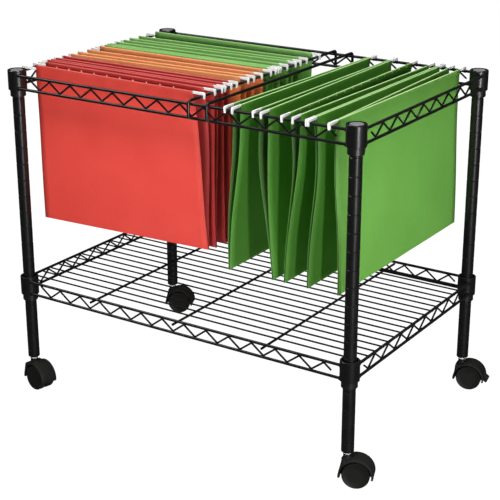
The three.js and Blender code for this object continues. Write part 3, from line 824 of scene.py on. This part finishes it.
def hood_section(reach):
    """Across the hood from one side's inner edge over the crown to the other: (radius, offset)."""
    half = HOOD_HALF_WIDTH
    corner = (reach - HOOD_EDGE_CORNER, half - HOOD_EDGE_CORNER)
    outer = [(reach - HOOD_EDGE, half), corner, (reach, half - HOOD_EDGE)]
    outer += [(reach + HOOD_CROWN_HALFWAY, half / 2), (reach + HOOD_CROWN, 0)]
    mirrored = [(radius, -offset) for radius, offset in reversed(outer[:-1])]
    return [(HOOD_WELL_R, half)] + outer + mirrored + [(HOOD_WELL_R, -half)]


def add_hood_arch(bm, place, trail, axle_z, notch_angle):
    """The shell over the wheels, its trailing edge cut back between two pointed sides."""
    low, high = math.radians(-HOOD_TIP), math.pi + math.radians(HOOD_TIP)
    rows = []
    for i in range(HOOD_STEPS + 1):
        row = []
        reach = hood_reach(low + (high - low) * i / HOOD_STEPS, trail, axle_z)
        for radius, offset in hood_section(reach):
            middle = 1 - (abs(offset) / HOOD_HALF_WIDTH) ** NOTCH_POWER
            start = low + math.radians(notch_angle) * middle
            angle = start + (high - start) * i / HOOD_STEPS
            spot = Vector((trail + radius * math.cos(angle), offset, axle_z + radius * math.sin(angle)))
            row.append(bm.verts.new(place @ spot))
        rows.append(row)
    count = len(rows[0])
    for row, after in zip(rows, rows[1:]):
        for k in range(count):
            j = (k + 1) % count
            bm.faces.new((row[k], row[j], after[j], after[k]))
    bm.faces.new(rows[0])
    bm.faces.new(rows[-1])


def build_hood(corner, place, trail, axle_z):
    bm = bmesh.new()
    add_hood_arch(bm, place, trail, axle_z, BRAKE_NOTCH if corner == BRAKED_CORNER else HOOD_NOTCH)
    neck_top = POST_LOW.z - STEM_GAP - GAP
    add_lathe(bm, [
        (0, NECK_ROOT),
        (NECK_ROOT_R, NECK_ROOT),
        (NECK_ROOT_R, NECK_SHOULDER - NECK_FLARE / 2),
        ((NECK_R + NECK_ROOT_R) / 2 - NECK_EDGE, NECK_SHOULDER),
        (NECK_R, NECK_SHOULDER + NECK_FLARE),
        (NECK_R, neck_top - NECK_EDGE),
        (NECK_R - NECK_EDGE, neck_top),
        (0, neck_top),
    ], place, segments=NECK_SEGMENTS)
    drop = HOOD_R * math.sin(math.radians(HOOD_TIP))
    start = -math.asin(drop / HOOD_WELL_R)
    reach = HOOD_WELL_R + 2 * GAP
    web = []
    for i in range(WEB_STEPS + 1):
        angle = start + (math.pi - 2 * start) * i / WEB_STEPS
        web.append((trail + reach * math.cos(angle), axle_z + reach * math.sin(angle)))
    add_plate(bm, web, HOOD_WEB, place, GAP)
    name = f"caster_hood_{corner}"
    make_piece(f"{name}_shell", bm, [BLACK_PLASTIC], f"caster_{corner}", [name])


def build_brake(corner, place):
    pin = place.inverted() @ Vector(JOINTS[f"brake_{corner}"]["pos_m"])
    outline = [(x * MM, z * MM) for x, z in BRAKE_OUTLINE]
    at_pin = place @ Matrix.Translation(pin)
    bm = bmesh.new()
    add_plate(bm, outline, BRAKE_WIDTH, at_pin, BRAKE_EDGE)
    add_tube(bm, [at_pin @ Vector((0, side * BRAKE_PIN_HALF, 0)) for side in (-1, 1)], BRAKE_PIN_R)
    name = f"caster_brake_{corner}"
    make_piece(f"{name}_pedal", bm, [BLACK_PLASTIC], f"brake_{corner}", [name])


# Folders
def along(pair, share):
    """A place in mm at the first and second end, taken at a share of the way between them, in metres."""
    return (pair[0] + (pair[1] - pair[0]) * share) * MM


def flap_path(rod, foot, inward, swell, top, bottom):
    """Down one flap: the hem's inner edge, over the rod, then the sheet to the fold."""
    height = top - bottom - FOLD_R

    def sheet(v):
        return rod + (foot - rod) * v + swell[0] * math.sin(math.pi * v) + swell[1] * math.sin(math.tau * v)

    path = [(sheet(HEM / height) + inward * HEM_OPEN, top - HEM)]
    for i in range(ROD_STEPS + 1):
        angle = math.pi * i / ROD_STEPS
        path.append((rod + inward * ROD_R * math.cos(angle), top - ROD_R + ROD_R * math.sin(angle)))
    for i in range(1, FLAP_STEPS + 1):
        v = i / FLAP_STEPS
        path.append((sheet(v), top - height * v))
    return path


def folder_path(spec, share, top, bottom, flutter):
    """The card's path across the bay at a share of its length: near flap, fold, far flap."""
    fold = along(spec["fold"], share)
    feet = (fold, fold + along(spec.get("base", (0, 0)), share))
    strength = SWELL_AT_FIRST_END + (1 - SWELL_AT_FIRST_END) * share
    sides = []
    for flap, foot, inward in zip(("near", "far"), feet, (1, -1)):
        swell, sway = (amount * strength * MM for amount in spec[f"{flap}_swell"])
        rod = along(spec[flap], share)
        waves = (swell + flutter, sway)
        sides.append(flap_path(rod, foot - inward * FOLD_R, inward, waves, top, bottom))
    path = sides[0]
    for i in range(1, FOLD_STEPS):
        angle = math.pi * (1 + i / FOLD_STEPS)
        centre = feet[0] if i <= FOLD_STEPS / 2 else feet[1]
        path.append((centre + FOLD_R * math.cos(angle), bottom + FOLD_R + FOLD_R * math.sin(angle)))
    return path + sides[1][::-1]


def build_card(name, spec, body, top, across_first):
    """A folder's card; across_first tells that the rods run along Y and the bay's places along X."""
    node = f"folder_{name}"
    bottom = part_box(node)[0].z
    bm = bmesh.new()
    rows = []
    for i in range(FLAP_COLUMNS + 1):
        share = i / FLAP_COLUMNS
        u = body[0] + (body[1] - body[0]) * share
        flutter = FLUTTER * math.sin(math.tau * FLUTTER_WAVES * share + spec["near"][0])
        path = folder_path(spec, share, top, bottom, flutter)
        spots = [(t, u, z) if across_first else (u, t, z) for t, z in path]
        rows.append([bm.verts.new(spot) for spot in spots])
    colour = name.split("_")[0]
    highlight_depths = RIGHT_PAINTED_HIGHLIGHT_DEPTHS if across_first else LEFT_PAINTED_HIGHLIGHT_DEPTHS
    # Faces above this height take the painted highlight
    highlight_above = top - highlight_depths[colour]
    for row, after in zip(rows, rows[1:]):
        for k in range(len(row) - 1):
            face = bm.faces.new((row[k], row[k + 1], after[k + 1], after[k]))
            face.material_index = 1 if face.calc_center_median().z > highlight_above else 0
    # Inside faces take painted shade where their bay's table gives it
    inner = RIGHT_PAINTED_SHADE_INSIDES if across_first else LEFT_INSIDES
    hem_highlight = (RIGHT_PAINTED_HIGHLIGHTS if across_first else LEFT_PAINTED_HIGHLIGHTS)[colour]
    # Folders that stand in shade take the painted-shade card
    outer = PAINTED_SHADE_CARDS if name in PAINTED_SHADE_FOLDERS else CARDS
    materials = [outer[colour], hem_highlight, inner[colour], hem_highlight]
    piece = make_piece(f"{node}_card", bm, materials, name, [node], sharp=80)
    thick = piece.modifiers.new("card", "SOLIDIFY")
    thick.thickness = CARD
    thick.offset = 0
    thick.material_offset = len(materials) // 2


def hook_outline(edge, rail, seat):
    out = 1 if rail > edge else -1
    outer = rail + out * (WIRE_R + HOOK_PLAY)
    tip = outer + out * HOOK_TIP_W
    root = edge - out * HOOK_ROOT
    top = seat + HOOK_BAR
    low = seat - HOOK_TIP_DROP
    return [
        (root, seat),
        (outer, seat),
        (outer, low),
        (tip - out * HOOK_TAPER, low),
        (tip, low + HOOK_TIP_W),
        (tip, top - HOOK_CORNER),
        (tip - out * HOOK_CORNER, top),
        (root, top),
    ]


def across_place(place, across_first):
    """Turns a plate in X and Z to a place across the bay."""
    if across_first:
        return Matrix.Translation((place, 0, 0)) @ Matrix.Rotation(math.pi / 2, 4, "Z")
    return Matrix.Translation((0, place, 0))


def build_hooks(name, spec, body, rails, seats, across_first):
    bm = bmesh.new()
    for flap in ("near", "far"):
        for share in (0, 1):
            outline = hook_outline(body[share], rails[share], seats[share])
            add_plate(bm, outline, HOOK_W, across_place(along(spec[flap], share), across_first), HOOK_EDGE)
    make_piece(f"folder_{name}_hooks", bm, [HOOK_PAINT], name)


def build_slots(name, spec, body, top, across_first):
    """The raised lips of the tab slots in the near flap's hem."""
    row = SLOT_ROWS[name]
    reach = abs(body[1] - body[0])
    high = top + SLOT_ABOVE_HEM
    bm = bmesh.new()
    for i in range(row["count"]):
        share = (row["start"] + i * SLOT_PITCH) / reach
        u = body[0] + (body[1] - body[0]) * share
        left, right = u - SLOT_W / 2, u + SLOT_W / 2
        outline = [(left, high - SLOT_H), (right, high - SLOT_H), (right, high), (left, high)]
        place = along(spec["near"], share) + ROD_R + CARD
        add_plate(bm, outline, SLOT_LIP, across_place(place, across_first), SLOT_EDGE)
    colour = name.split("_")[0]
    make_piece(f"folder_{name}_slots", bm, [SLOT_LIPS[colour]], name)


def build_bay(folders, hang, rails, seats, across_first):
    top = TOP_COLLAR + hang["above_posts"]
    for name, spec in folders.items():
        body = NARROW_BODIES.get(name, hang["body"])
        build_card(name, spec, body, top, across_first)
        build_hooks(name, spec, body, rails, seats, across_first)
        if name in SLOT_ROWS:
            build_slots(name, spec, body, top, across_first)


def build_folders():
    on_wire = TOP_WIRE_Z + WIRE_R + GAP
    on_cross_rail = CROSS_RAIL_Z + WIRE_R + GAP
    left_rails = (-WIRE_X, CROSS_RAIL_X[0])
    build_bay(LEFT_FOLDERS, LEFT_HANG, left_rails, (on_wire, on_cross_rail), False)
    build_bay(RIGHT_FOLDERS, RIGHT_HANG, (WIRE_Y, -WIRE_Y), (on_wire, on_wire), True)


# Stage
def build_floor():
    """A pale sweep: a floor that curves up into a backdrop all round, seen by the camera alone."""
    material = bpy.data.materials.new("pale_floor")
    material.use_nodes = True
    shader = material.node_tree.nodes["Principled BSDF"]
    shader.inputs["Base Color"].default_value = (*grey(FLOOR_GREY), 1)
    shader.inputs["Roughness"].default_value = 1
    shader.inputs["Specular IOR Level"].default_value = 0
    shader.inputs["Emission Color"].default_value = (1, 1, 1, 1)
    shader.inputs["Emission Strength"].default_value = FLOOR_WHITE
    profile = [(0, 0)]
    for i in range(COVE_STEPS + 1):
        angle = math.pi / 2 * i / COVE_STEPS
        profile.append((FLOOR_R + COVE_R * math.sin(angle), COVE_R * (1 - math.cos(angle))))
    bm = bmesh.new()
    add_lathe(bm, profile)
    mesh = bpy.data.meshes.new("floor")
    bm.to_mesh(mesh)
    bm.free()
    mesh.materials.append(material)
    floor = bpy.data.objects.new("floor", mesh)
    bpy.context.scene.collection.objects.link(floor)
    floor.visible_glossy = False
    floor.visible_diffuse = False
    floor.visible_shadow = False


def build_world():
    """A dim room, a little lighter from below, where a pale floor throws light back."""
    world = bpy.data.worlds.new("studio")
    world.use_nodes = True
    tree = world.node_tree
    direction = tree.nodes.new("ShaderNodeTexCoord").outputs["Generated"]
    split = tree.nodes.new("ShaderNodeSeparateXYZ")
    spread = tree.nodes.new("ShaderNodeMapRange")
    spread.inputs["From Min"].default_value = -1
    spread.inputs["To Min"].default_value = FLOOR_GLOW
    spread.inputs["To Max"].default_value = SKY_GLOW
    background = tree.nodes["Background"]
    background.inputs["Color"].default_value = (1, 1, 1, 1)
    tree.links.new(direction, split.inputs["Vector"])
    tree.links.new(split.outputs["Z"], spread.inputs["Value"])
    tree.links.new(spread.outputs["Result"], background.inputs["Strength"])
    bpy.context.scene.world = world


def add_light(name, place, size, power, glossy, diffuse=True):
    light = bpy.data.lights.new(name, "AREA")
    light.shape = "RECTANGLE"
    light.size, light.size_y = size
    light.energy = power
    lamp = bpy.data.objects.new(name, light)
    lamp.location = place
    lamp.visible_camera = False
    lamp.visible_glossy = glossy
    lamp.visible_diffuse = diffuse
    lamp.rotation_mode = "QUATERNION"
    lamp.rotation_quaternion = (Vector(LIGHT_TARGET) - Vector(place)).to_track_quat("-Z", "Y")
    bpy.context.scene.collection.objects.link(lamp)


def build_studio():
    build_floor()
    build_world()
    for name, light in LIGHTS.items():
        add_light(name, **light)
    for name, sheen in SHEENS.items():
        add_light(name, **sheen, glossy=True, diffuse=False)
    bpy.context.scene.view_settings.view_transform = "Standard"


def build_camera():
    camera = bpy.data.objects.new("camera", bpy.data.cameras.new("camera"))
    camera.data.sensor_width = CAMERA_SENSOR
    camera.data.lens = CAMERA_LENS
    camera.location = CAMERA_PLACE
    camera.rotation_mode = "QUATERNION"
    camera.rotation_quaternion = CAMERA_LOOK.to_track_quat("-Z", "Y")
    bpy.context.scene.collection.objects.link(camera)
    bpy.context.scene.camera = camera


def build_caster(corner):
    place, trail, axle_z = caster_place(corner)
    build_stem(corner, place)
    build_hood(corner, place, trail, axle_z)
    if corner == BRAKED_CORNER:
        build_brake(corner, place)
    for letter in ("a", "b"):
        build_wheel(letter, corner, place, trail, axle_z)
    axle = frame["nodes"][f"caster_axle_{corner}"]
    axle.data.materials.clear()
    axle.data.materials.append(ZINC)


def build_cart():
    for name, side in (("front", -1), ("back", 1)):
        build_collared_rail(f"top_rail_{name}", side, TOP_COLLAR)
        build_collared_rail(f"shelf_rail_{name}", side, SHELF_COLLAR)
    for name, end in (("left", -1), ("right", 1)):
        build_side_rail(f"top_rail_{name}", end)
    build_shelf_deck()
    for i, x in enumerate(CROSS_RAIL_X, 1):
        build_cross_rail(f"cross_rail_{i}", x)
    for corner in CORNERS:
        build_post(corner)
        build_cap(corner)
        build_sleeve("upper", corner, TOP_COLLAR)
        build_sleeve("lower", corner, SHELF_COLLAR)
        build_caster(corner)
    build_folders()


build_cart()
build_studio()
build_camera()
